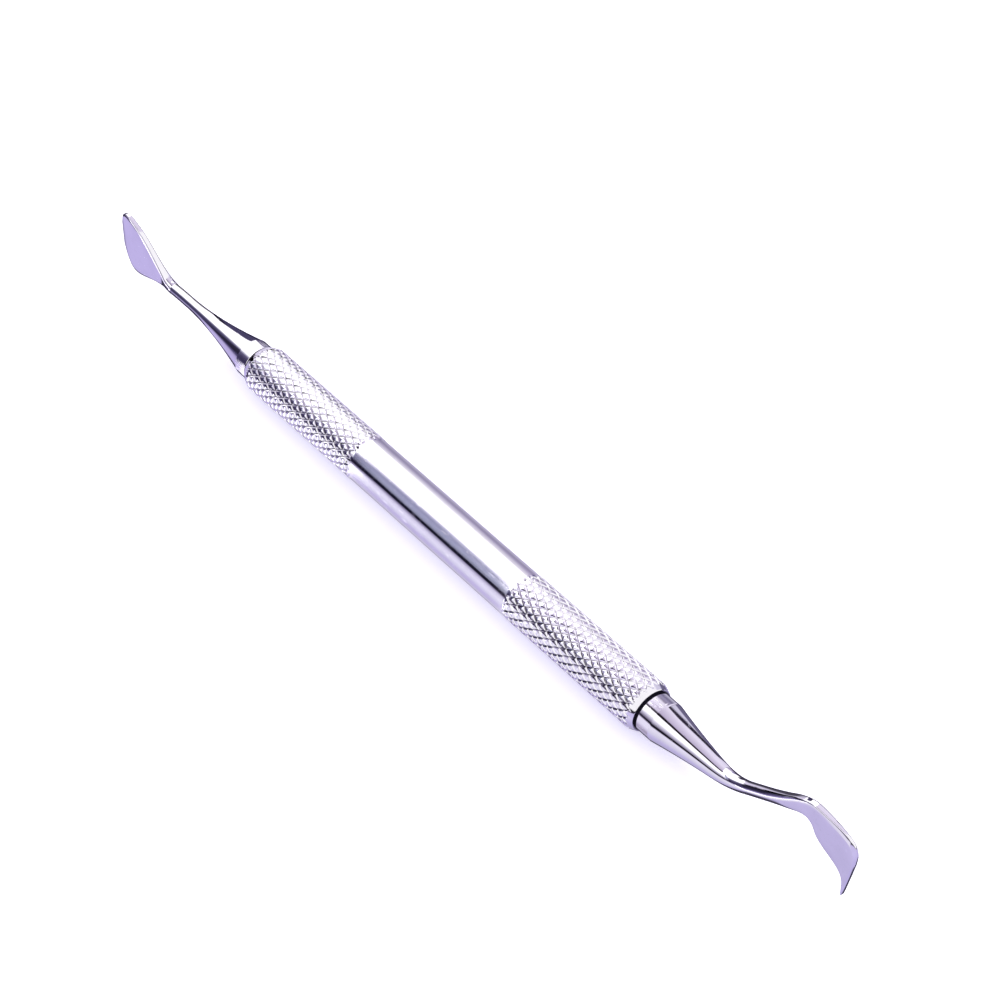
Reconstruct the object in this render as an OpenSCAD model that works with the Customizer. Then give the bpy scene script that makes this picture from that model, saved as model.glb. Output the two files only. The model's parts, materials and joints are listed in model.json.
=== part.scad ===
// Double-ended cuticle pusher: a hollow knurled steel handle that carries a
// gooseneck beak-shaped pusher blade at one end and a flared hatchet blade at
// the other. The handle lies along X with its middle at the origin. +X points
// to the beak blade and +Z is up. Both blades are flat plates in the XZ plane.
// Dimensions in millimetres.

/* [Handle] */
// Length of the handle between its end faces
handle_len = 94.6; // [84:0.1:120]
// Diameter of the smooth waist
waist_d = 7.9; // [7.2:0.1:9]
// Bore of the handle tube
tube_bore = 5.6; // [5:0.1:6]
// Length of the chamfer at each end
chamfer_len = 1.3; // [0.6:0.1:2]
// Diameter of the handle's end faces
end_face_d = 7.1; // [6.8:0.1:7.6]

/* [Knurling] */
// Length of each knurled grip
knurl_len = 26.5; // [12:0.1:34]
// Plain length between each grip and its end face, chamfer included
knurl_margin = 1.7; // [1.7:0.1:6]
// Diameter over the diamond crests
knurl_d = 8.1; // [7.8:0.1:9.2]
// Depth of the knurl grooves
knurl_depth = 0.36; // [0.1:0.02:0.5]
// Number of knurl grooves in each direction
knurl_starts = 20; // [12:1:28]
// Wanted length of one diamond along the handle
knurl_pitch = 2.23; // [1.6:0.01:3]

/* [Joints between the handle and the tips] */
// Diameter of the tang at the root of each tip
tang_d = 3.6; // [3:0.1:4.4]
// Length of each tang inside its bush
tang_len = 10.5; // [8:0.5:11]
// Length of each socket bush
bush_len = 12; // [11.5:0.5:18]
// Width of the groove between the handle and each tip
joint_gap = 0.4; // [0.2:0.05:0.8]
// Diameter at the bottom of that groove
joint_d = 5.8; // [5.4:0.1:6.4]

/* [Pusher tip] */
// Diameter of the pusher tip's shoulder
pusher_shoulder_d = 6.5; // [6:0.1:7]
// Length of the pusher tip's shoulder
pusher_shoulder_len = 2.6; // [1:0.1:4]
// Diameter of the pusher tip's shank
pusher_shank_d = 1.94; // [1.7:0.02:2.3]
// How hard the pusher cone is drawn in, 1 is straight
pusher_cone_power = 1.5; // [1.4:0.05:2.4]
// Angle that the gooseneck rises by
gooseneck_rise = 29.8; // [15:0.5:40]
// Thickness of the beak blade
beak_thick = 1.1; // [0.8:0.05:1.4]
// Size of the beak blade, 1 is as drawn
beak_size = 1; // [0.8:0.05:1.2]
// Thickness left along the beak's front edge, as a part of the blade's
beak_land = 0.4; // [0.2:0.05:1]

/* [Hatchet tip] */
// Diameter of the hatchet tip's shoulder
hatchet_shoulder_d = 6.5; // [6:0.1:7]
// Length of the hatchet tip's shoulder
hatchet_shoulder_len = 2.5; // [1:0.1:4]
// Diameter of the hatchet tip's shank
hatchet_shank_d = 1.94; // [1.7:0.02:2.2]
// How hard the hatchet cone is drawn in, 1 is straight
hatchet_cone_power = 1.75; // [1.4:0.05:2.4]
// Angle that the hatchet's shank dips by
hatchet_dip = 3; // [0:0.5:10]
// Thickness of the hatchet blade
hatchet_thick = 1.05; // [0.8:0.05:1.4]
// Size of the hatchet blade, 1 is as drawn
hatchet_size = 1; // [0.8:0.05:1.2]

/* [Hidden] */

turned_fn = 96;                  // facets around the turned parts

// Handle, as distances from its middle
half_len = handle_len / 2;
grip_out = half_len - knurl_margin;    // outer end of a grip
grip_in = grip_out - knurl_len;        // inner end of a grip
grip_lap = 0.3;                  // how far a grip runs into its plain neighbours
knurl_rows = max(2, round(knurl_len / knurl_pitch));

// Small chamfers
tang_chamfer = 0.3;
shoulder_chamfer = 0.12;
bush_bore_chamfer = 0.4;
bush_rim_chamfer = [0.3, 0.6];   // radial, along the bush

// Tips, as distances from the end face
cone_len = 17.6;                 // from the shoulder to the thinnest part of the shank
sweep_start = 12;                // where the swept shank starts, inside the turned cone
turned_end = sweep_start + 2;    // where the turned cone stops
cone_steps = 14;                 // straight pieces in the turned cone's profile
inset_end = sweep_start + 2.3;   // the swept shank is slimmer up to here
inset_scale = 0.985;             // so that it stays inside the turned cone

// Sweeps
ring_points = 24;                // points around a swept section
ring_step = 0.8;                 // distance between swept sections
substeps = 4;                    // centreline steps from one section to the next
bevel_w = 0.6;                   // width of the bevel ground along a front edge
growth_len = 12;                 // distance over which a resized blade reaches its new size

// ---- curves ----

// An S-shaped ramp from 0 to 1
function ramp(u) = u <= 0 ? 0 : u >= 1 ? 1 : u * u * (3 - 2 * u);

// Angle of a centreline at distance s, for a bend of [start, length, angle]
function heading(s, bend) = bend[2] * ramp((s - bend[0]) / bend[1]);

// Centreline as a list of frames [s, x, z, angle], with s and x from the end face
function centreline(length, step, bend) = [
    for (s = 0, x = 0, z = 0; s <= length + step / 2;
         x = x + step * cos(heading(s + step / 2, bend)),
         z = z + step * sin(heading(s + step / 2, bend)),
         s = s + step)
    [s, x, z, heading(s, bend)]];

// Point at u along a frame's direction and v square to it, at depth y
function in_frame(frame, u, v, y) =
    let (x = frame[1], z = frame[2], angle = frame[3])
    [x + u * cos(angle) - v * sin(angle), y, z + u * sin(angle) + v * cos(angle)];

// Smooth (cubic Hermite) curve through one column of a table, against column 0
function row_at(s, table, i = 0) =
    (i >= len(table) - 2 || s < table[i + 1][0]) ? i : row_at(s, table, i + 1);

function slope_at(table, i, column) =
    let (before = table[max(i - 1, 0)], after = table[min(i + 1, len(table) - 1)])
    (after[column] - before[column]) / (after[0] - before[0]);

function value_at(s, table, column) =
    let (i = row_at(s, table),
         span = table[i + 1][0] - table[i][0],
         u = (s - table[i][0]) / span)
    (2 * pow(u, 3) - 3 * pow(u, 2) + 1) * table[i][column]
    + (pow(u, 3) - 2 * pow(u, 2) + u) * span * slope_at(table, i, column)
    + (3 * pow(u, 2) - 2 * pow(u, 3)) * table[i + 1][column]
    + (pow(u, 3) - pow(u, 2)) * span * slope_at(table, i + 1, column);

// Power that keeps the sign of its base
function signed_pow(base, power) = base < 0 ? -pow(-base, power) : pow(base, power);

// Radius of a drawn-in cone at distance s, for a cone that begins at start
function cone_r(s, start, shoulder_d, shank_d, power) =
    s <= start ? shoulder_d / 2 :
    s >= start + cone_len ? shank_d / 2 :
    shank_d / 2 + (shoulder_d - shank_d) / 2 * pow(1 - (s - start) / cone_len, power);

// ---- general solids ----

// Profile of [radius, x] points turned around the X axis
module turned(profile) {
    rotate([0, 90, 0])
        rotate_extrude($fn = turned_fn)
            polygon(profile);
}

// Cylinder along X, centred on the origin
module rod(length, d) {
    rotate([0, 90, 0])
        cylinder(h = length, d = d, center = true, $fn = turned_fn);
}

// Rows of equal rings of points closed into one solid. With diamonds, the
// cells are split along alternate diagonals.
module ring_solid(rings, diamonds = false) {
    size = len(rings[0]);
    last = len(rings) - 1;
    start_cap = [for (k = [0:size - 1]) k];
    end_cap = [for (k = [size - 1:-1:0]) last * size + k];
    sides = [
        for (j = [0:last - 1]) for (k = [0:size - 1])
            let (a = j * size + k,
                 b = j * size + (k + 1) % size,
                 next_a = a + size,
                 next_b = b + size)
            each (diamonds && (j + k) % 2 == 0
                ? [[a, next_a, next_b], [a, next_b, b]]
                : [[a, next_a, b], [b, next_a, next_b]])];
    polyhedron(
        points = [for (ring = rings) for (point = ring) point],
        faces = concat([start_cap], sides, [end_cap]),
        convexity = 6);
}

// ---- handle ----

// The +X grip: a diamond pattern whose grooves cross at every other grid point
module knurled_grip() {
    start = grip_in - grip_lap;
    end = grip_out + grip_lap;
    columns = 2 * knurl_starts;
    rows = 2 * knurl_rows;
    crest_r = knurl_d / 2;
    root_r = crest_r - knurl_depth;
    ring_solid([
        for (j = [0:rows]) [
            for (i = [0:columns - 1])
                let (is_root = j == 0 || j == rows || (i + j) % 2 == 0,
                     r = is_root ? root_r : crest_r,
                     angle = 360 * i / columns)
                [start + (end - start) * j / rows, r * cos(angle), r * sin(angle)]]],
        diamonds = true);
}

// The plain +X end with its chamfer
module chamfered_end() {
    turned([
        [0, grip_out], [waist_d / 2, grip_out],
        [waist_d / 2, half_len - chamfer_len],
        [end_face_d / 2, half_len], [0, half_len]]);
}

module handle_tube() {
    color("gainsboro")
    difference() {
        union() {
            rod(length = 2 * grip_in, d = waist_d);
            for (side = [0, 1]) mirror([side, 0, 0]) {
                knurled_grip();
                chamfered_end();
            }
        }
        rod(length = handle_len + 2, d = tube_bore);
    }
}

// ---- socket bushes ----

// Sleeve that fills the +X end of the tube and grips a tang
module socket_bush() {
    inner_end = half_len - bush_len;
    bore_r = tang_d / 2;
    outer_r = tube_bore / 2;
    color("darkgray")
    turned([
        [bore_r, inner_end + bush_bore_chamfer], [bore_r + bush_bore_chamfer, inner_end],
        [outer_r - bush_rim_chamfer[0], inner_end], [outer_r, inner_end + bush_rim_chamfer[1]],
        [outer_r, half_len], [bore_r, half_len]]);
}

module pusher_socket_bush() socket_bush();

module hatchet_socket_bush() mirror([1, 0, 0]) socket_bush();

// ---- tips ----
// Each is built towards +X from its end face at x = 0.
//
// A blade is a table of stations, across from each other on its outline:
// [distance, front u, front v, back u, back v, thickness, squareness, land]
// Distances and u run on from the shank's end in its direction, v is square to
// it. The front edge runs on from the shank's top, the back edge from its
// underside. Squareness is 1 for a round section and less for a boxier one.
// Land is the part of the thickness left along the front edge.

// Shoulder, cone and tang of a tip as one turned solid
module turned_root(cone_start, shoulder_d, shank_d, power) {
    tang_r = tang_d / 2;
    shoulder_r = shoulder_d / 2;
    turned(concat(
        [[0, -tang_len], [tang_r - tang_chamfer, -tang_len], [tang_r, -tang_len + tang_chamfer],
         [tang_r, 0], [joint_d / 2, 0], [joint_d / 2, joint_gap],
         [shoulder_r - shoulder_chamfer, joint_gap], [shoulder_r, joint_gap + shoulder_chamfer]],
        [for (k = [0:cone_steps])
            let (s = cone_start + (turned_end - cone_start) * k / cone_steps)
            [cone_r(s, cone_start, shoulder_d, shank_d, power), s]],
        [[0, turned_end]]));
}

// Round section of a shank in its frame
function shank_ring(frame, r) = [
    for (i = [0:ring_points - 1])
        let (t = 360 * i / ring_points)
        in_frame(frame, 0, r * cos(t), -r * sin(t))];

// Section of a blade at a distance from the shank's last frame
function blade_ring(frame, distance, stations) =
    let (row = [for (column = [0:7]) value_at(distance, stations, column)],
         front = [row[1], row[2]],
         back = [row[3], row[4]],
         thickness = row[5],
         squareness = row[6],
         land = row[7],
         middle = (front + back) / 2,
         half = (front - back) / 2)
    [for (i = [0:ring_points - 1])
        let (t = 360 * i / ring_points,
             across = signed_pow(cos(t), squareness),
             from_front = (1 - across) * norm(half),
             bevel = land + (1 - land) * min(1, from_front / bevel_w),
             point = middle + half * across)
        in_frame(frame, point[0], point[1],
                 -thickness / 2 * signed_pow(sin(t), squareness) * bevel)];

// Stations of a blade at another size: the outline grows from the shank
function sized(stations, size) = [
    for (row = stations)
        let (growth = 1 + (size - 1) * ramp(row[0] / growth_len))
        [for (column = [0:7]) column >= 1 && column <= 4 ? row[column] * growth : row[column]]];

// Shank that follows its centreline, and the flat blade that goes on from it
module swept_tip(shank_len, bend, stations, cone_start, shoulder_d, shank_d, power) {
    line = centreline(shank_len, ring_step / substeps, bend);
    last_frame = line[len(line) - 1];
    blade_len = stations[len(stations) - 1][0];
    blade_steps = round(blade_len / ring_step);
    shank_rings = [
        for (k = [round(substeps * sweep_start / ring_step):substeps:len(line) - 1])
            let (s = line[k][0],
                 r = cone_r(s, cone_start, shoulder_d, shank_d, power))
            shank_ring(line[k], r * (s < inset_end ? inset_scale : 1))];
    blade_rings = [
        for (k = [1:blade_steps])
            blade_ring(last_frame, blade_len * k / blade_steps, stations)];
    ring_solid(concat(shank_rings, blade_rings));
}

// Whole tip, set on the +X end of the handle
module tip(shoulder_d, shoulder_len, shank_d, power, shank_len, bend, stations) {
    cone_start = joint_gap + shoulder_len;
    translate([half_len, 0, 0])
        union() {
            turned_root(cone_start, shoulder_d, shank_d, power);
            swept_tip(shank_len, bend, stations, cone_start, shoulder_d, shank_d, power);
        }
}

module pusher_tip() {
    shank = pusher_shank_d;
    thick = beak_thick;
    stations = [
        [0, 0, shank / 2, 0, -shank / 2, shank, 1, 1],
        [3, 3, shank * 0.51, 3, -shank / 2, shank * 0.98, 0.95, 1],
        [6, 6.1, 1.12, 6, -1.03, shank * 0.88, 0.75, 1],
        [9.4, 9.51, 1.36, 9.24, -1.23, thick * 1.3, 0.55, 1],
        [12, 12.18, 1.02, 10.38, -2.23, thick * 1.12, 0.42, 1],
        [14.4, 14.36, -0.32, 10.48, -4.21, thick * 1.02, 0.38, 1],
        [17, 16.62, -2.06, 11.08, -5.77, thick, 0.36, 0.5 + beak_land / 2],
        [19, 18.1, -3.82, 11.94, -7.07, thick, 0.36, beak_land + 0.1],
        [20.6, 18.06, -5.54, 12.55, -8.02, thick, 0.36, beak_land],
        [22.2, 17.17, -7.02, 12.9, -8.81, thick, 0.36, beak_land],
        [23.8, 16.12, -8.28, 13.12, -9.64, thick, 0.36, beak_land],
        [25.4, 15, -9.58, 12.96, -10.58, thick, 0.38, beak_land],
        [27.2, 13.77, -10.96, 12.48, -11.57, thick * 0.95, 0.42, beak_land + 0.1],
        [28.9, 12.68, -12.18, 11.94, -12.52, thick * 0.85, 0.5, 0.7],
        [30.2, 11.71, -13.16, 11.55, -13.24, thick * 0.7, 0.6, 1]];
    color("silver")
    tip(shoulder_d = pusher_shoulder_d, shoulder_len = pusher_shoulder_len,
        shank_d = shank, power = pusher_cone_power,
        shank_len = 22.4, bend = [12.4, 8.9, gooseneck_rise],
        stations = sized(stations, beak_size));
}

module hatchet_tip() {
    shank = hatchet_shank_d;
    thick = hatchet_thick;
    stations = [
        [0, 0, shank * 0.55, 0, -shank * 0.54, shank * 1.02, 1, 1],
        [1.4, 1.4, 1.42, 1.35, -0.87, shank * 0.95, 0.85, 1],
        [2.9, 2.88, 2.42, 2.65, -0.83, thick * 1.4, 0.62, 1],
        [5, 4.41, 3.77, 5.07, -1.2, thick * 1.2, 0.5, 1],
        [7.2, 6.04, 5.26, 7.3, -1.8, thick * 1.08, 0.4, 1],
        [9.6, 7.87, 6.7, 9.34, -2.38, thick * 1.03, 0.37, 1],
        [11.6, 9.72, 7.67, 11.17, -2.63, thick, 0.35, 1],
        [13.1, 11.22, 8.33, 12.5, -2.25, thick * 0.94, 0.35, 1],
        [14.4, 12.55, 8.47, 13.5, -1.2, thick * 0.74, 0.35, 1],
        [15.6, 13.62, 7.82, 14.18, -0.06, thick * 0.5, 0.35, 1],
        [16.6, 14.3, 6.25, 14.65, 1.46, thick * 0.27, 0.35, 1]];
    color("silver")
    mirror([1, 0, 0])
    tip(shoulder_d = hatchet_shoulder_d, shoulder_len = hatchet_shoulder_len,
        shank_d = shank, power = hatchet_cone_power,
        shank_len = 25.4, bend = [20.4, 5, -hatchet_dip],
        stations = sized(stations, hatchet_size));
}

handle_tube();
pusher_socket_bush();
hatchet_socket_bush();
pusher_tip();
hatchet_tip();
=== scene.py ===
"""A double-ended steel hand instrument: a tube handle with a knurled grip at each end, a curved
pusher tip at +X and a hatchet tip at -X. The handle's axis is the X axis, the middle of the handle
is the origin, and both blades lie in the XZ plane. Shapes are in mm until mesh_object."""

import json
import math

import bpy
import numpy as np
from mathutils import Matrix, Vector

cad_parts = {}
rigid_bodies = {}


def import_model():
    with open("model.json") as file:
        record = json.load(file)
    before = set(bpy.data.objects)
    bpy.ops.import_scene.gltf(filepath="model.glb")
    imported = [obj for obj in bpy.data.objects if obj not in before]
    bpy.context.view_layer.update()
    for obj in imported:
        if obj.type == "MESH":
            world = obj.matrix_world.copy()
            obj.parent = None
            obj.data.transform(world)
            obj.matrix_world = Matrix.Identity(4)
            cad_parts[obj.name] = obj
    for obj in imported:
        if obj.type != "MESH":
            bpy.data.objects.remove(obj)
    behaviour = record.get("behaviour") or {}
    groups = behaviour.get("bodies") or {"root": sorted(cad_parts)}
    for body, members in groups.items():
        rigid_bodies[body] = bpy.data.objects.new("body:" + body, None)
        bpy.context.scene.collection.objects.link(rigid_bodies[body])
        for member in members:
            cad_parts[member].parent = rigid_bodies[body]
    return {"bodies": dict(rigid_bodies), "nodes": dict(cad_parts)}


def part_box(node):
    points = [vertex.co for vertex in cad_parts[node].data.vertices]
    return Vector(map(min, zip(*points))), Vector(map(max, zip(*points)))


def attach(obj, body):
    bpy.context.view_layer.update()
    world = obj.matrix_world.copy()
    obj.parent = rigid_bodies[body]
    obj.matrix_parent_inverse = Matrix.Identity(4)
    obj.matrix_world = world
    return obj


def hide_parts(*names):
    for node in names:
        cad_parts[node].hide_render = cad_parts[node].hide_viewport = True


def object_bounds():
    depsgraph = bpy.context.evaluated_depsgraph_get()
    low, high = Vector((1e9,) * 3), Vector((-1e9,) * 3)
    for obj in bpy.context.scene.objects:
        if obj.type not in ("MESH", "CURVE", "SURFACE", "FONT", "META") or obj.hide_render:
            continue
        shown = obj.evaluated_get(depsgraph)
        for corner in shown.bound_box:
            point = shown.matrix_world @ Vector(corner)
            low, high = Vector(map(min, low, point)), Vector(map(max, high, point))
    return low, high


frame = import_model()
CAD_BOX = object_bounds()

MM = 0.001
KEEP = set(frame["nodes"].values()) | set(frame["bodies"].values())
for cad_object in list(bpy.data.objects):
    if cad_object not in KEEP:
        bpy.data.objects.remove(cad_object, do_unlink=True)

SCENE = bpy.context.scene

# ---------------------------------------------------------------- handle sizes, mm
HANDLE_LO, HANDLE_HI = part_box("handle_tube")
HALF = HANDLE_HI.x / MM                           # x of the +X end face
CREST_R = min(HANDLE_HI.z, -HANDLE_LO.z) / MM     # over the diamond crests
WAIST_R = 3.95
BORE_R = 2.8
BORE_BREAK = 0.12                       # chamfer at the mouth of the bore
CHAMFER, END_R = 1.3, 3.55              # length of the end chamfer, and radius where it ends
LIP = 0.05                              # small break at the rim of the end face
GRIP_IN = HALF - 28.2                   # inner end of each grip
GRIP_LEN = 26.5
ROWS, STARTS = 12, 20                   # diamonds along a grip, and around it
DIAMOND_STEPS = 6                       # lattice steps in half a diamond
GROOVE_DEPTH, CROWN = 0.21, 0.03        # knurl grooves, and fall from a crest to its groove

# ---------------------------------------------------------------- tip sizes, mm
JOINT_R, GAP = 2.9, 0.4                 # groove between the handle and a tip
TANG_R, TANG_LEN = 1.8, 10.5            # plug inside the handle
SHOULDER_D, NECK_D = 6.5, 1.94          # cone diameters at its two ends
CONE_LEN = 17.6
PUSHER_T, HATCHET_T = 1.1, 1.05         # blade thickness
TOP_BEVEL, LOW_BEVEL = 0.6, 0.25        # bevel widths on the two blade edges
TIP_POINTS, TIP_STEP, LINE_STEP = 144, 0.16, 0.02

# side: +1 for +X. bend: where it starts, its length, degrees towards +Z. power: cone hollowness.
# Stations are measured from the end of the neck: u runs on along it, v is square to it,
# towards +Z. The top edge starts on the +v side and the low edge on the -v side.
# p, top u, top v, low u, low v, thickness, squareness, top land, low land
PUSHER = dict(side=1, length=22.4, bend=(12.4, 8.9, 29.8), cone_from=3.0, power=1.5, stations=[
    [0, 0, NECK_D / 2, 0, -NECK_D / 2, NECK_D, 1, 1, 1],
    [3, 3, NECK_D * 0.51, 3, -NECK_D / 2, NECK_D * 0.98, 0.95, 1, 1],
    [6, 6.1, 1.12, 6, -1.03, NECK_D * 0.88, 0.75, 1, 1],
    [9.4, 9.51, 1.36, 9.24, -1.23, PUSHER_T * 1.3, 0.52, 1, 0.95],
    [12, 12.18, 1.02, 10.38, -2.23, PUSHER_T * 1.12, 0.38, 1, 0.8],
    [14.4, 14.36, -0.32, 10.48, -4.21, PUSHER_T * 1.02, 0.32, 1, 0.65],
    [17, 16.62, -2.06, 11.08, -5.77, PUSHER_T, 0.36, 0.7, 0.6],
    [19, 18.1, -3.82, 11.94, -7.07, PUSHER_T, 0.40, 0.5, 0.6],
    [20.6, 18.06, -5.54, 12.55, -8.02, PUSHER_T, 0.40, 0.4, 0.6],
    [22.2, 17.17, -7.02, 12.9, -8.81, PUSHER_T, 0.38, 0.4, 0.6],
    [23.8, 16.12, -8.28, 13.12, -9.64, PUSHER_T, 0.31, 0.4, 0.65],
    [25.4, 15, -9.58, 12.96, -10.58, PUSHER_T, 0.33, 0.4, 0.7],
    [27.2, 13.77, -10.96, 12.48, -11.57, PUSHER_T * 0.95, 0.38, 0.5, 0.8],
    [28.9, 12.68, -12.18, 11.94, -12.52, PUSHER_T * 0.85, 0.48, 0.7, 0.9],
    [30.2, 11.71, -13.16, 11.55, -13.24, PUSHER_T * 0.7, 0.6, 1, 1]])
HATCHET = dict(side=-1, length=25.4, bend=(20.4, 5, -3), cone_from=2.9, power=1.75, stations=[
    [0, 0, NECK_D * 0.55, 0, -NECK_D * 0.54, NECK_D * 1.02, 1, 1, 1],
    [1.4, 1.4, 1.42, 1.35, -0.87, NECK_D * 0.95, 0.85, 1, 1],
    [2.9, 2.88, 2.42, 2.65, -0.83, HATCHET_T * 1.4, 0.60, 1, 1],
    [5, 4.41, 3.77, 5.07, -1.2, HATCHET_T * 1.2, 0.46, 1, 0.95],
    [7.2, 6.04, 5.26, 7.3, -1.8, HATCHET_T * 1.08, 0.36, 1, 0.85],
    [9.6, 7.87, 6.7, 9.34, -2.38, HATCHET_T * 1.03, 0.32, 1, 0.75],
    [11.6, 9.72, 7.67, 11.17, -2.63, HATCHET_T, 0.30, 1, 0.75],
    [13.1, 11.22, 8.33, 12.5, -2.25, HATCHET_T * 0.94, 0.30, 1, 0.8],
    [14.4, 12.55, 8.47, 13.5, -1.2, HATCHET_T * 0.74, 0.30, 1, 0.9],
    [15.6, 13.62, 7.82, 14.18, -0.06, HATCHET_T * 0.5, 0.31, 1, 1],
    [16.6, 14.3, 6.25, 14.65, 1.46, HATCHET_T * 0.27, 0.32, 1, 1]])


# ---------------------------------------------------------------- curves
def ramp(u):
    """Smooth step from 0 to 1."""
    u = min(1.0, max(0.0, u))
    return u * u * (3 - 2 * u)


def centreline(length, step, bend):
    """Points (x, z, heading in radians) along a line with one eased bend."""
    start, bend_length, degrees = bend

    def heading(s):
        return math.radians(degrees * ramp((s - start) / bend_length))

    points, s, x, z = [], 0.0, 0.0, 0.0
    while s <= length + step / 2:
        points.append((x, z, heading(s)))
        angle = heading(s + step / 2)
        x += step * math.cos(angle)
        z += step * math.sin(angle)
        s += step
    return points


def value_at(p, table, column):
    """A column of a station table at p, by a cubic through the stations."""
    i = 0
    while i < len(table) - 2 and p >= table[i + 1][0]:
        i += 1

    def slope(k):
        a, b = max(k - 1, 0), min(k + 1, len(table) - 1)
        return (table[b][column] - table[a][column]) / (table[b][0] - table[a][0])

    span = table[i + 1][0] - table[i][0]
    u = (p - table[i][0]) / span
    return ((2 * u ** 3 - 3 * u * u + 1) * table[i][column]
            + (u ** 3 - 2 * u * u + u) * span * slope(i)
            + (3 * u * u - 2 * u ** 3) * table[i + 1][column]
            + (u ** 3 - u * u) * span * slope(i + 1))


def signed_power(values, power):
    return np.sign(values) * np.abs(values) ** power


# ---------------------------------------------------------------- meshes
def add_object(name, data):
    ob = bpy.data.objects.new(name, data)
    SCENE.collection.objects.link(ob)
    return ob


def mesh_object(name, verts, faces, sharp_deg, **attributes):
    """A smooth-shaded object from points in mm, with one float per point for each attribute."""
    mesh = bpy.data.meshes.new(name)
    mesh.from_pydata([tuple(v) for v in verts * MM], [], faces)
    mesh.validate(verbose=False)
    mesh.update()
    mesh.shade_smooth()
    mesh.set_sharp_from_angle(angle=math.radians(sharp_deg))
    for key, values in attributes.items():
        attribute = mesh.attributes.new(key, "FLOAT", "POINT")
        attribute.data.foreach_set("value", np.asarray(values, np.float32))
    return add_object(name, mesh)


def handle():
    """The tube: one closed loop of rings over the outside and back through the bore."""
    steps = DIAMOND_STEPS
    n = 2 * STARTS * steps
    pitch = GRIP_LEN / (2 * ROWS * steps)
    i = np.arange(n)
    ang = 2 * math.pi * i / n

    def chamfer_r(x):
        return END_R + (HALF - x) / CHAMFER * (CREST_R - END_R)

    # a ring is: x, radii, groove values, lattice row
    def plain(x, radius):
        return x, np.full(n, radius), np.zeros(n), None

    def knurled(row):
        x = GRIP_IN + pitch * row
        fade = ramp((x - GRIP_IN + 0.35) / 0.9)
        # steps to the nearest groove line of each helix direction
        phase_a, phase_b = (i + row) % (2 * steps), (i - row) % (2 * steps)
        to_a = np.minimum(phase_a, 2 * steps - phase_a)
        to_b = np.minimum(phase_b, 2 * steps - phase_b)
        groove = np.maximum(np.clip(1 - to_a / 2, 0, 1), np.clip(1 - to_b / 2, 0, 1))
        fall = np.clip((steps - np.minimum(to_a, to_b)) / (steps - 2.0), 0, 1)
        radii = WAIST_R + fade * ((CREST_R - WAIST_R) - GROOVE_DEPTH * groove - CROWN * fall ** 2)
        cut = chamfer_r(x)
        return x, np.minimum(radii, cut), np.where(radii < cut, groove * fade, 0.0), row

    # outside, from the middle to the +X end, then mirrored
    half = [plain(x, WAIST_R) for x in np.linspace(0, GRIP_IN - 0.5 - 3 * pitch, 16)]
    last_row = int((HALF - 0.25 - GRIP_IN) / pitch)
    half += [knurled(row) for row in range(-3, last_row + 1)]
    half += [plain(x, chamfer_r(x)) for x in (HALF - 0.14, HALF - LIP)]
    half.append(plain(HALF, chamfer_r(HALF - LIP) - LIP))
    rings = [(-x, *rest) for x, *rest in half[:0:-1]] + half

    # bore, back to the -X end
    mouth = [(HALF, BORE_R + BORE_BREAK), (HALF - BORE_BREAK, BORE_R)]
    rings += [plain(x, r) for x, r in mouth]
    rings += [plain(x, BORE_R) for x in np.linspace(HALF - 12, -HALF + 12, 5)]
    rings += [plain(-x, r) for x, r in mouth[::-1]]

    # seam marks painted shade: 1 darkens the bore mouth fully, 0.4 part-darkens the end face
    def seam_value(x, radii):
        if abs(x) > HALF - 1 and np.max(radii) < BORE_R + 0.2:
            return 1.0
        return 0.4 if abs(x) > HALF - 0.01 else 0.0

    verts = np.concatenate([np.stack([np.full(n, x), r * np.cos(ang), r * np.sin(ang)], 1)
                            for x, r, _, _ in rings])
    seam = [np.full(n, seam_value(x, r)) for x, r, _, _ in rings]
    faces = []
    for j in range(len(rings)):
        j_next = (j + 1) % len(rings)
        row, next_row = rings[j][3], rings[j_next][3]
        for p in range(n):
            p_next = (p + 1) % n
            a, b = j * n + p, j * n + p_next
            c, d = j_next * n + p_next, j_next * n + p
            if row is None or next_row is None:
                faces.append((a, d, c, b))
            # groove lines run through nodes whose lattice sum is even
            elif (row + p) % 2 == 0:
                faces += [(a, c, b), (a, d, c)]
            else:
                faces += [(a, d, b), (b, d, c)]
    return mesh_object("handle_tube_knurled", verts, faces, sharp_deg=28,
                       groove=np.concatenate([ring[2] for ring in rings]),
                       seam=np.concatenate(seam))


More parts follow.
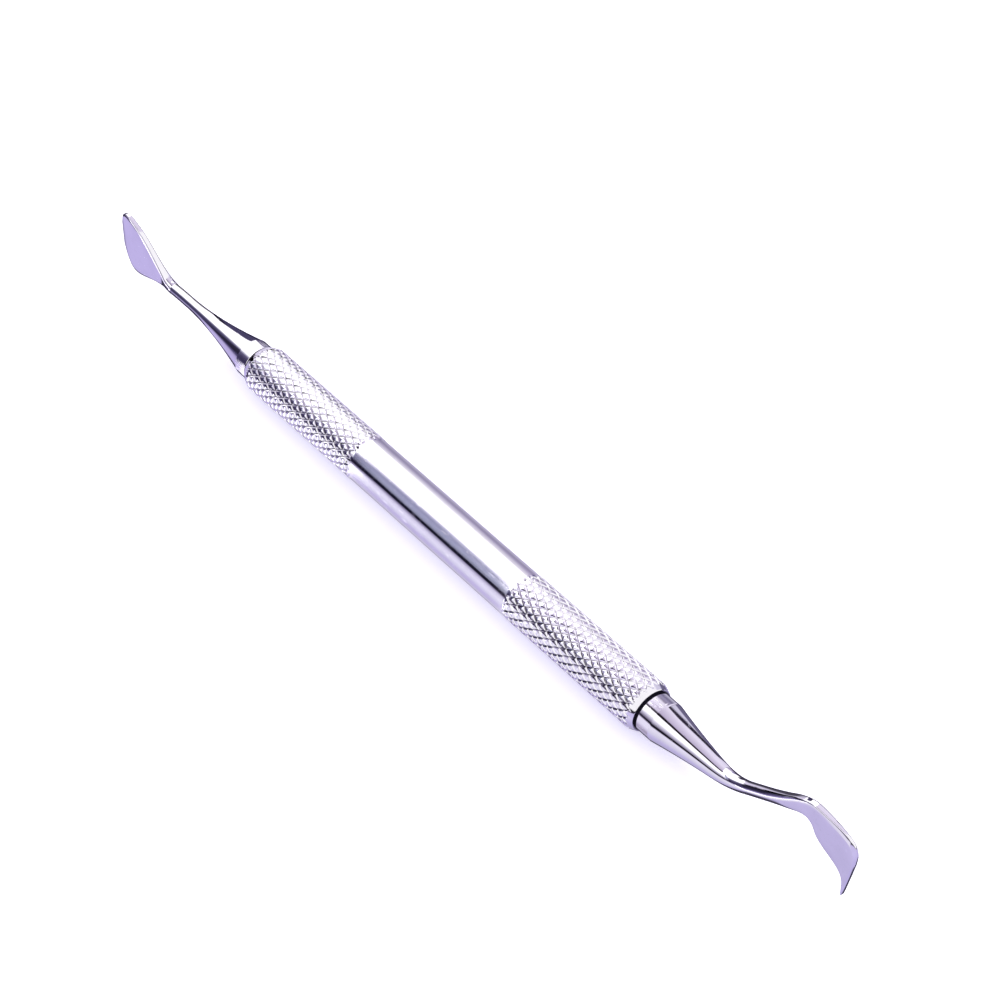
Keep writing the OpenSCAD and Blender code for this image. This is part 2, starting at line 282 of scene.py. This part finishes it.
def tip_mesh(name, tip):
    """A tip: tang, joint groove, hollow cone and neck, then the blade. Built towards +X."""
    n = TIP_POINTS
    ang = 2 * math.pi * np.arange(n) / n
    cos_a, sin_a = np.cos(ang), np.sin(ang)
    shoulder, neck, start = SHOULDER_D / 2, NECK_D / 2, tip["cone_from"]
    rings, rim = [], []

    def round_ring(x, z, angle, r):
        # offset to the painted rim shade: 0.10 more on the thin neck, 0.13 less on thick rings
        rim.append(np.full(n, 0.10 - 0.23 * ramp((r - 1.0) / 0.6)))
        rings.append(np.stack([x - r * cos_a * math.sin(angle), -r * sin_a,
                               z + r * cos_a * math.cos(angle)], 1))

    def cone_r(s):
        if s <= start:
            return shoulder
        if s >= start + CONE_LEN:
            return neck
        return neck + (SHOULDER_D - NECK_D) / 2 * (1 - (s - start) / CONE_LEN) ** tip["power"]

    # x, radius of the tang, the joint groove and the shoulder's end face
    profile = [(-TANG_LEN, 0.4), (-TANG_LEN, TANG_R - 0.3), (-TANG_LEN + 0.3, TANG_R),
               (-6, TANG_R), (0, TANG_R), (0, JOINT_R), (0.06, JOINT_R),
               (GAP - 0.05, JOINT_R), (GAP, JOINT_R + 0.05),
               (GAP, shoulder - 0.1), (GAP + 0.03, shoulder - 0.03), (GAP + 0.1, shoulder)]
    for x, r in profile:
        round_ring(x, 0, 0, r)
    # seam marks the painted shade of the joint groove: 1 on the tang, the groove and most of the
    # shoulder's end face
    seam = [1.0 if x <= GAP and r <= shoulder - 0.09 else 0.0 for x, r in profile]

    # shoulder, cone and neck
    line = centreline(tip["length"], LINE_STEP, tip["bend"])
    marks = list(np.arange(GAP + 0.3, start - 0.01, 0.3)) + [start]
    marks += list(np.arange(start + 0.12, tip["length"] + 1e-6, TIP_STEP))
    for s in marks:
        round_ring(*line[min(len(line) - 1, int(round(s / LINE_STEP)))], cone_r(s))

    # blade
    end_x, end_z, angle = line[-1]
    stations = tip["stations"]
    total = stations[-1][0]
    count = int(round(total / TIP_STEP))
    for i in range(1, count + 1):
        p = total * i / count
        (top_u, top_v, low_u, low_v, thickness, squareness, top_land,
         low_land) = [value_at(p, stations, column) for column in range(1, 9)]
        half_u, half_v = (top_u - low_u) / 2, (top_v - low_v) / 2
        half_width = float(np.hypot(half_u, half_v))
        across = signed_power(cos_a, squareness)
        face = signed_power(sin_a, squareness)
        thin = top_land + (1 - top_land) * np.clip((1 - across) * half_width / TOP_BEVEL, 0, 1)
        thin *= low_land + (1 - low_land) * np.clip((1 + across) * half_width / LOW_BEVEL, 0, 1)
        # painted rim shade: held back on the flats, stronger along both edges, most on the +Y face
        flat = ramp((0.9 - squareness) / 0.4)
        border = np.clip((np.abs(across) - 0.88) / 0.04, 0, 1)
        side_shade = np.clip((-face - 0.45) / 0.15, 0, 1) + 0.3 * np.clip((face - 0.8) / 0.1, 0, 1)
        rim.append(0.10 * (1 - flat) + flat * (-0.15 + border * (0.22 + 0.5 * side_shade)))
        u = (top_u + low_u) / 2 + half_u * across
        v = (top_v + low_v) / 2 + half_v * across
        rings.append(np.stack([end_x + u * math.cos(angle) - v * math.sin(angle),
                               -thickness / 2 * face * thin,
                               end_z + u * math.sin(angle) + v * math.cos(angle)], 1))

    verts = np.concatenate(rings)
    verts[:, 0] += HALF
    faces = []
    for j in range(len(rings) - 1):
        for k in range(n):
            a, b = j * n + k, j * n + (k + 1) % n
            faces.append((a + n, b + n, b, a))
    faces.append(tuple(range(n)))
    faces.append(tuple(reversed(range((len(rings) - 1) * n, len(rings) * n))))
    if tip["side"] < 0:
        verts[:, 0] *= -1
        faces = [tuple(reversed(f)) for f in faces]
    seam += [0.0] * (len(rings) - len(seam))
    # seam and edge carry the painted shade of the joint groove and of the rim
    return mesh_object(name, verts, faces, sharp_deg=11, seam=np.repeat(seam, n),
                       edge=np.concatenate(rim))


# ---------------------------------------------------------------- node graphs
class Graph:
    """A short way to write node graphs. Values may be sockets, numbers or colours."""

    def __init__(self, tree):
        self.tree = tree
        tree.nodes.clear()

    def node(self, kind, inputs=None, **settings):
        node = self.tree.nodes.new(kind)
        for key, value in settings.items():
            setattr(node, key, value)
        for key, value in (inputs or {}).items():
            socket = node.inputs[key]
            if isinstance(value, bpy.types.NodeSocket):
                self.tree.links.new(value, socket)
            elif socket.type == "RGBA":
                socket.default_value = (*value, 1.0)
            else:
                socket.default_value = value
        return node

    def math(self, operation, *values, clamp=False):
        return self.node("ShaderNodeMath", dict(enumerate(values)), operation=operation,
                         use_clamp=clamp).outputs[0]

    def add(self, a, b, clamp=False):
        return self.math("ADD", a, b, clamp=clamp)

    def minus(self, a, b):
        return self.math("SUBTRACT", a, b)

    def times(self, first, *others):
        for other in others:
            first = self.math("MULTIPLY", first, other)
        return first

    def mix(self, factor, a, b, blend="MIX"):
        return self.node("ShaderNodeMix", {0: factor, 6: a, 7: b}, data_type="RGBA",
                         blend_type=blend).outputs[2]

    def linear(self, value, lo, hi, start=0.0, end=1.0, kind="LINEAR"):
        """Maps lo..hi to start..end."""
        return self.node("ShaderNodeMapRange", {0: value, 1: lo, 2: hi, 3: start, 4: end},
                         interpolation_type=kind).outputs[0]

    def smooth(self, value, lo, hi, start=0.0, end=1.0):
        return self.linear(value, lo, hi, start, end, kind="SMOOTHSTEP")

    def within(self, value, lo=None, hi=None, soft=1.0):
        """A mask that is 1 between lo and hi, with soft limits."""
        masks = []
        for limit, start in ((lo, 0.0), (hi, 1.0)):
            if limit is not None:
                masks.append(self.smooth(self.minus(value, limit), lo=-soft / 2, hi=soft / 2,
                                         start=start, end=1.0 - start))
        return self.times(*masks)

    def noise(self, vector, scale=1.0, detail=2.0, rough=0.5, stretch=None):
        if stretch is not None:
            vector = self.node("ShaderNodeMapping", {0: vector, 3: stretch}).outputs[0]
        return self.node("ShaderNodeTexNoise", {"Vector": vector, "Scale": scale, "Detail": detail,
                                                "Roughness": rough}).outputs["Fac"]

    def coords(self, space="Object"):
        return self.node("ShaderNodeTexCoord").outputs[space]

    def attribute(self, name):
        return self.node("ShaderNodeAttribute", attribute_name=name).outputs["Fac"]

    def bump(self, height, distance):
        return self.node("ShaderNodeBump", {"Height": height, "Distance": distance}).outputs[0]

    def metal(self, colour, roughness, normal):
        return self.node("ShaderNodeBsdfPrincipled",
                         {"Metallic": 1.0, "Base Color": colour, "Roughness": roughness,
                          "Normal": normal}).outputs[0]

    def output(self, shader, kind="ShaderNodeOutputMaterial"):
        self.node(kind, {0: shader})


def new_material(name):
    mat = bpy.data.materials.new(name)
    mat.use_nodes = True
    return mat, Graph(mat.node_tree)


# ---------------------------------------------------------------- materials
STEEL = (0.84, 0.825, 0.87)
CLOUDED_STEEL = tuple(v * 0.955 for v in STEEL)
STAIN = (0.50, 0.47, 0.50)
WORN_STEEL = (0.93, 0.92, 0.94)
# near-black for the knurl grooves: residue and painted groove shade together
GROOVE_SHADE_AND_RESIDUE = (0.03, 0.025, 0.035)
# near-black diffuse for the painted shade of the rim and of the joint groove
RIM_SHADE = (0.012, 0.010, 0.020)


def polished_steel(name, rough, lines, scratch, drawn=1.0, rim=(0.55, 0.68, 0.93)):
    """Mirror-polished steel with polishing lines, hair scratches, stains and lighter worn edges,
    with
    painted shade on top: dark residue in the knurl grooves that also stands in for their shade, a
    dark joint groove and bore mouth, and a dark rim where the surface turns away from the view.
    lines: noise scale on x, y, z. scratch, drawn: depth of the hair scratches and coarse lines.
    rim: facing values where the painted rim shade starts and is full, and its strength."""
    mat, g = new_material(name)
    place = g.coords()
    fine = g.noise(place, rough=0.6, stretch=lines)
    coarse = g.noise(place, stretch=tuple(v * 0.22 for v in lines))
    # sparse hair scratches in two directions
    hair_a = g.noise(place, detail=1.0, stretch=(420, 5200, 2600))
    hair_b = g.noise(place, detail=1.0, stretch=(2600, 500, 5600))
    hair = g.add(g.smooth(hair_a, lo=0.705, hi=0.74), g.smooth(hair_b, lo=0.715, hi=0.75),
                 clamp=True)
    cloud = g.noise(place, scale=260, detail=3.0, rough=0.6)
    stain = g.smooth(g.noise(place, scale=900, detail=4.0, rough=0.65), lo=0.60, hi=0.78)

    # colour: clouds, faint stains at 16 %, worn edges at 35 %
    colour = g.mix(g.smooth(cloud, lo=0.35, hi=0.7), STEEL, CLOUDED_STEEL)
    colour = g.mix(g.times(stain, 0.16), colour, STAIN)
    pointiness = g.node("ShaderNodeNewGeometry").outputs["Pointiness"]
    worn = g.smooth(pointiness, lo=0.53, hi=0.60)
    colour = g.mix(g.times(worn, 0.35), colour, WORN_STEEL)

    # roughness: polishing lines, clouds, and 0.10 more in the scratches
    roughness = g.linear(fine, lo=0.3, hi=0.7, start=rough * 0.75, end=rough * 1.3)
    roughness = g.add(roughness, g.linear(cloud, lo=0.4, hi=0.75, start=0.0, end=rough * 0.5))
    roughness = g.add(roughness, g.times(hair, 0.10))

    # relief: weights of the fine lines, coarse lines and scratches
    height = g.add(g.times(fine, 0.5), g.times(coarse, 0.8 * drawn))
    height = g.minus(height, g.times(hair, 1.2 * scratch))

    # near-black residue in the knurl grooves, which also paints in the shade of the groove walls
    # and adds up to 0.25 roughness
    groove_mottle = g.noise(place, scale=2600, detail=3.0, rough=0.6)
    groove_shade_and_residue = g.times(g.smooth(g.attribute("groove"), lo=0.75, hi=1.0),
                      g.smooth(groove_mottle, lo=0.3, hi=0.6, start=0.12, end=0.5))
    colour = g.mix(groove_shade_and_residue, colour, GROOVE_SHADE_AND_RESIDUE)
    roughness = g.add(roughness, g.times(groove_shade_and_residue, 0.25))
    steel = g.metal(colour, roughness, g.bump(height, distance=0.0000016))

    # painted shade: the joint groove and bore mouth 96 % dark, and the dark rim where the surface
    # faces away
    rim_start, rim_full, rim_strength = rim
    joint_shade = g.smooth(g.attribute("seam"), lo=0.2, hi=0.7)
    away = g.add(g.node("ShaderNodeLayerWeight").outputs["Facing"], g.attribute("edge"))
    dark = g.math("MAXIMUM", g.times(joint_shade, 0.96),
                  g.times(g.smooth(away, lo=rim_start, hi=rim_full), rim_strength))
    shade = g.node("ShaderNodeBsdfDiffuse", {0: RIM_SHADE}).outputs[0]
    g.output(g.node("ShaderNodeMixShader", {0: dark, 1: steel, 2: shade}).outputs[0])
    return mat


def turned_steel(name):
    """Plain turned steel: rings around the axis, duller than the outside."""
    mat, g = new_material(name)
    place = g.coords()
    rings = g.noise(place, detail=3.0, rough=0.6, stretch=(9000, 60, 60))
    cloud = g.noise(place, scale=700, detail=3.0, rough=0.6)
    g.output(g.metal(g.mix(cloud, (0.56, 0.55, 0.56), (0.66, 0.65, 0.67)),
                     g.linear(rings, lo=0.3, hi=0.7, start=0.28, end=0.46),
                     g.bump(rings, distance=0.000004)))
    return mat


def white_sheet():
    """A white acrylic sheet lit from below, so shadows stay faint."""
    mat, g = new_material("white_sheet")
    paper = g.noise(g.coords(), scale=900, detail=4.0, rough=0.6)
    sheet = g.node("ShaderNodeBsdfDiffuse",
                   {"Color": g.mix(paper, (0.74, 0.74, 0.75), (0.77, 0.77, 0.78)),
                    "Normal": g.bump(paper, distance=0.00002)})
    glow = g.node("ShaderNodeEmission", {"Color": (0.56, 0.535, 0.70), "Strength": 1.0})
    g.output(g.node("ShaderNodeAddShader", {0: sheet.outputs[0], 1: glow.outputs[0]}).outputs[0])
    return mat


# ---------------------------------------------------------------- pieces
TIP_FINISH = dict(rough=0.035, lines=(500, 7000, 7000), scratch=0.7)
tube = handle()
tube.data.materials.append(polished_steel("knurled_polished_steel", rough=0.05,
                                          lines=(260, 9000, 9000), scratch=1.0, drawn=7.0,
                                          rim=(0.80, 0.90, 0.6)))
pusher = tip_mesh("pusher_tip_ground", PUSHER)
pusher.data.materials.append(polished_steel("pusher_polished_steel", **TIP_FINISH))
hatchet = tip_mesh("hatchet_tip_ground", HATCHET)
hatchet.data.materials.append(polished_steel("hatchet_polished_steel", **TIP_FINISH))
for piece, node_name, slot_name in ((tube, "handle_tube", "knurled_handle"),
                                    (pusher, "pusher_tip", "pusher_steel"),
                                    (hatchet, "hatchet_tip", "hatchet_steel")):
    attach(piece, "root")
    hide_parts(node_name)
bush_steel = turned_steel("bush_turned_steel")
for node_name in ("pusher_socket_bush", "hatchet_socket_bush"):
    bush_materials = frame["nodes"][node_name].data.materials
    bush_materials.clear()
    bush_materials.append(bush_steel)

# ---------------------------------------------------------------- floor
FLOOR_Z = CAD_BOX[0].z - 0.00002
FLOOR_R, FLOOR_POINTS = 3.0, 96
floor_angles = [2 * math.pi * i / FLOOR_POINTS for i in range(FLOOR_POINTS)]
floor_mesh = bpy.data.meshes.new("floor")
floor_mesh.from_pydata([(FLOOR_R * math.cos(a), FLOOR_R * math.sin(a), FLOOR_Z)
                        for a in floor_angles], [], [tuple(range(FLOOR_POINTS))])
floor = add_object("floor", floor_mesh)
floor.visible_glossy = False            # the steel sees the sheet as part of the world, below
floor_mesh.materials.append(white_sheet())

# ---------------------------------------------------------------- surroundings
# What the steel mirrors: white light panels, dark gaps and the lavender shade of the sheet, laid
# out in degrees around the handle's axis. turn is the angle round the axis (0 up, negative towards
# -Y) and lean is the angle away from -X. The camera and the floor see plain light.
WHITE = (1.5, 1.47, 1.53)
GLARE = (2.8, 2.75, 2.85)
LAVENDER = (188, 177, 228)
NEAR_BLACK = (10, 8, 14)
# (turn, colour the steel shows, 0 to 255); None is a light panel
SKIES = {
    "innermost": [
        (-180, (190, 182, 215)), (-110, (190, 182, 215)), (-88, (140, 135, 160)),
        (-78, (15, 12, 22)), (-40, (15, 12, 22)), (-25, (120, 112, 135)), (-10, (205, 196, 222)),
        (80, (222, 214, 238)), (110, (238, 234, 248)), (180, (190, 182, 215))],
    "far_tip": [
        (-180, (186, 174, 226)), (-150, (190, 178, 230)), (-122, (180, 168, 218)),
        (-112, (150, 140, 185)), (-104, (90, 82, 122)), (-95, (70, 64, 98)), (-80, (58, 53, 84)),
        (-65, (72, 66, 98)), (-52, (95, 90, 122)), (-46, (150, 148, 175)), (-40, (230, 228, 240)),
        (-34, None), (38, None), (118, None), (128, LAVENDER), (180, (186, 174, 226))],
    "far_grip": [
        (-180, (250, 247, 254)), (-168, None), (-100, None), (-93, (120, 105, 150)),
        (-86, (40, 28, 56)), (-66, (52, 38, 72)), (-50, (110, 96, 135)), (-42, (235, 230, 245)),
        (-36, None), (48, None), (56, (150, 140, 190)), (76, (84, 74, 124)), (112, (104, 95, 145)),
        (122, (215, 208, 240)), (180, (250, 247, 254))],
    "waist": [
        (-180, (195, 189, 214)), (-156, (188, 178, 222)), (-144, (194, 183, 228)),
        (-127, (216, 211, 240)), (-113, (229, 223, 250)), (-98, (205, 198, 230)),
        (-92, (170, 162, 196)), (-86, (50, 46, 72)), (-83, (10, 10, 26)), (-72, (12, 12, 32)),
        (-69, (70, 70, 96)), (-66, (140, 140, 168)), (-58, (165, 167, 200)),
        (-43, (143, 141, 177)), (-36, (190, 188, 216)), (-27, None), (48, None),
        (60, (222, 216, 232)), (73, (185, 177, 204)), (88, (146, 136, 170)),
        (108, (168, 163, 187)), (125, (200, 190, 225)), (180, (195, 189, 214))],
    "near_grip": [
        (-180, (232, 226, 250)), (-102, (240, 236, 252)), (-94, (226, 221, 240)),
        (-89, (128, 120, 142)), (-86, (90, 82, 104)), (-77, (90, 82, 104)), (-73, (170, 165, 188)),
        (-62, (238, 235, 247)), (-52, None), (-28, None), (-24, (160, 152, 178)),
        (-19, (160, 152, 178)), (-15, None), (40, None), (52, (214, 200, 228)),
        (72, (176, 162, 198)), (96, (150, 136, 174)), (114, (180, 168, 204)),
        (122, (228, 222, 246)), (180, (232, 226, 250))],
    "shoulder": [
        (-180, (190, 182, 214)), (-148, (160, 148, 178)), (-132, (205, 196, 226)),
        (-118, (229, 222, 246)), (-93, (229, 222, 246)), (-89, (140, 130, 158)),
        (-86, (22, 18, 34)), (-79, (22, 18, 34)), (-76, (112, 103, 130)), (-72, (140, 130, 158)),
        (-62, (195, 189, 214)), (-52, (238, 236, 248)), (-44, None), (-29, None),
        (-26, (50, 42, 56)), (-20, (40, 33, 48)), (-17, (120, 110, 130)), (-14, (196, 184, 214)),
        (7, (196, 184, 214)), (16, (222, 214, 235)), (38, (222, 214, 235)), (49, (140, 131, 158)),
        (64, (150, 142, 174)), (80, (113, 106, 137)), (100, (176, 171, 195)),
        (120, (200, 190, 224)), (180, (190, 182, 214))],
    "cone": [
        (-180, (175, 168, 200)), (-160, (180, 171, 214)), (-140, (194, 184, 228)),
        (-120, (214, 209, 233)), (-100, (228, 222, 244)), (-92, (226, 220, 243)),
        (-89, (110, 102, 124)), (-86, (14, 11, 22)), (-79, (14, 11, 22)), (-76, (105, 97, 120)),
        (-70, (168, 162, 186)), (-60, (216, 211, 231)), (-50, None), (-30, None),
        (-27, (40, 32, 46)), (-24.5, (12, 9, 16)), (-19.5, (12, 9, 16)), (-17, (98, 88, 107)),
        (-14, (188, 175, 206)), (2, (203, 192, 220)), (16, (216, 206, 231)), (32, (230, 221, 245)),
        (60, (226, 218, 243)), (116, (202, 192, 222)), (124, LAVENDER), (180, (175, 168, 194))],
    "plus_x": [
        (-180, (186, 176, 226)), (-120, (200, 190, 236)), (-97, (200, 190, 232)),
        (-94, (30, 25, 42)), (-84, (30, 25, 42)), (-80, (250, 247, 254)), (80, (250, 247, 254)),
        (84, (30, 25, 42)), (94, (30, 25, 42)), (97, (200, 190, 232)), (150, (186, 176, 226)),
        (180, (186, 176, 226))]}
GRIP_EDGE = 49.42                       # lean just short of the waist sky


def shown(colour):
    """The brightness that makes the steel show a colour. The sky is mixed at half brightness."""
    light = [v / 12.92 / 255 if v <= 10 else ((v / 255 + 0.055) / 1.055) ** 2.4 for v in colour]
    return tuple(v / metal / 2 for v, metal in zip(light, STEEL))


def studio_world():
    world = bpy.data.worlds.new("studio")
    SCENE.world = world
    world.use_nodes = True
    g = Graph(world.node_tree)
    within = g.within
    x, y, z = g.node("ShaderNodeSeparateXYZ", {0: g.coords("Generated")}).outputs
    to_degrees = 180 / math.pi
    turn = g.times(g.math("ARCTAN2", y, z), to_degrees)
    lean = g.times(g.math("ARCCOSINE", g.times(x, -1.0)), to_degrees)
    plain_turn = g.linear(turn, lo=-180, hi=180)

    def sweep(stops, position, light):
        """A colour for every turn."""
        node = g.node("ShaderNodeValToRGB", {0: position})
        elements = node.color_ramp.elements
        elements.remove(elements[0])
        for i, (degrees, colour) in enumerate(stops):
            place = (degrees + 180) / 360
            element = elements[0] if i == 0 else elements.new(place)
            element.position = place
            rgb = tuple(v / 2 for v in light) if colour is None else shown(colour)
            element.color = (*rgb, 1.0)
        return node.outputs[0]

    def past_line(value, other, slope, offset):
        """How far value is past the line slope * other + offset."""
        return g.minus(value, g.add(g.times(other, slope), offset))

    # a ragged edge on the dark band mirrored in the waist; the factors stretch its grain
    grain = g.node("ShaderNodeCombineXYZ", {0: g.times(turn, 0.22), 1: g.times(lean, 5.5)})
    rag = g.linear(g.noise(grain.outputs[0], rough=0.6), lo=0.3, hi=0.7, start=-9.0, end=17.0)
    rag = g.times(rag, g.times(within(turn, lo=-75, hi=-47, soft=5)),
                  within(lean, lo=52.2, hi=57.0, soft=0.4))
    ragged_turn = g.linear(g.add(turn, rag), lo=-180, hi=180)

    sky = sweep(SKIES["innermost"], plain_turn, WHITE)
    # name, lean where it starts, softness of that edge, position, light
    for name, start, soft, position, light in (
            ("far_tip", 18, 3, plain_turn, WHITE), ("far_grip", 49.45, 0.15, plain_turn, GLARE),
            ("waist", 52.38, 0.2, ragged_turn, WHITE), ("near_grip", 56.98, 0.2, plain_turn, GLARE),
            ("shoulder", 60.4, 0.4, plain_turn, WHITE), ("cone", 61.6, 1.0, plain_turn, WHITE),
            ("plus_x", 92, 4, plain_turn, WHITE)):
        sky = g.mix(within(lean, lo=start, soft=soft), sky, sweep(SKIES[name], position, light))

    # pale patch round -X, on the +Y side
    patch = g.times(within(turn, lo=5, hi=118, soft=6),
                    within(past_line(lean, turn, slope=0.35, offset=4.0), hi=0.0, soft=2))
    sky = g.mix(patch, sky, shown((216, 208, 234)))
    # navy panel on the +Y side; its edge passes through turn 37 at lean 35
    edge = past_line(turn, lean, slope=6.1, offset=37 - 6.1 * 35)
    navy = g.times(within(edge, lo=0.0, soft=5),
                   within(past_line(lean, turn, slope=0.195, offset=18.0), lo=0.0, soft=1.0),
                   within(turn, lo=50, hi=128, soft=8),
                   within(lean, lo=30.5, hi=GRIP_EDGE, soft=0.15))
    sky = g.mix(navy, sky, g.mix(within(edge, lo=14.0, soft=10), shown((26, 22, 38)),
                                 shown((70, 64, 98))))
    strip = g.times(within(turn, lo=66, hi=128, soft=6),
                    within(lean, lo=48.7, hi=GRIP_EDGE, soft=0.15))
    sky = g.mix(strip, sky, shown((84, 75, 110)))
    # dark wedge on the -Y side, at 60 %, and the dark spot at -X
    wedge = g.times(
        within(past_line(turn, lean, slope=-1.45, offset=-51.75), lo=0.0, soft=4),
        within(past_line(turn, lean, slope=-3.1, offset=22.5), hi=0.0, soft=4),
        within(lean, lo=17, hi=41, soft=3))
    sky = g.mix(g.times(wedge, 0.6), sky, shown(NEAR_BLACK))
    sky = g.mix(within(lean, hi=10.3, soft=1.2), sky, shown(NEAR_BLACK))
    # pale and grey panels beyond a dark seam, on the +Y side
    seam = past_line(lean, turn, slope=-0.19, offset=86.6)
    side = g.times(within(turn, lo=36, hi=118, soft=5), within(lean, lo=61.8, hi=91, soft=1))
    sky = g.mix(g.times(side, within(seam, lo=0.0, soft=1.2)), sky, shown((206, 200, 226)))
    sky = g.mix(g.times(side, within(seam, lo=0.0, soft=1.2), within(turn, lo=82, soft=10)),
                sky, shown((105, 98, 130)))
    sky = g.mix(g.times(side, within(seam, lo=-1.5, hi=0.5, soft=0.7)), sky, shown((40, 33, 52)))
    sky = g.mix(1.0, sky, (2.0, 2.0, 2.0), "MULTIPLY")

    # dim for rays that have left a diffuse surface, plain for the camera and diffuse rays
    rays = g.node("ShaderNodeLightPath").outputs
    sky = g.mix(g.smooth(rays["Diffuse Depth"], lo=0.4, hi=0.6), sky, (0.12, 0.115, 0.14))
    sky = g.mix(rays["Is Camera Ray"], sky, (1.3, 1.3, 1.3))
    sky = g.mix(rays["Is Diffuse Ray"], sky, (1.0, 0.985, 1.05))
    background = g.node("ShaderNodeBackground", {0: sky, 1: 1.0})
    g.output(background.outputs[0], "ShaderNodeOutputWorld")


studio_world()

# ---------------------------------------------------------------- light
softbox = bpy.data.lights.new("key_softbox", "AREA")
softbox.shape = "RECTANGLE"
softbox.size, softbox.size_y = 0.5, 0.4
softbox.energy = 2.0
softbox.color = (1.0, 0.985, 0.96)
key_light = add_object("key_softbox", softbox)
key_light.location = (0.10, 0.42, 0.55)
key_light.rotation_mode = "QUATERNION"
key_light.rotation_quaternion = key_light.location.to_track_quat("Z", "Y")  # faces the origin
key_light.visible_glossy = False

# ---------------------------------------------------------------- camera
lens = bpy.data.cameras.new("camera")
lens.lens, lens.sensor_width = 96.48, 36.0
lens.clip_start, lens.clip_end = 0.01, 20.0
camera = add_object("camera", lens)
# the camera's right, up and back directions
pose = Matrix(((0.6243, 0.7812, 0.0), (-0.5361, 0.4284, 0.7273),
               (0.569, -0.4541, 0.6863))).transposed().to_4x4()
pose.translation = (0.23089, -0.17361, 0.27798)
camera.matrix_world = pose
SCENE.camera = camera
SCENE.view_settings.view_transform = "Standard"
SCENE.view_settings.look = "None"
SCENE.view_settings.exposure = 0.0
SCENE.view_settings.gamma = 1.0
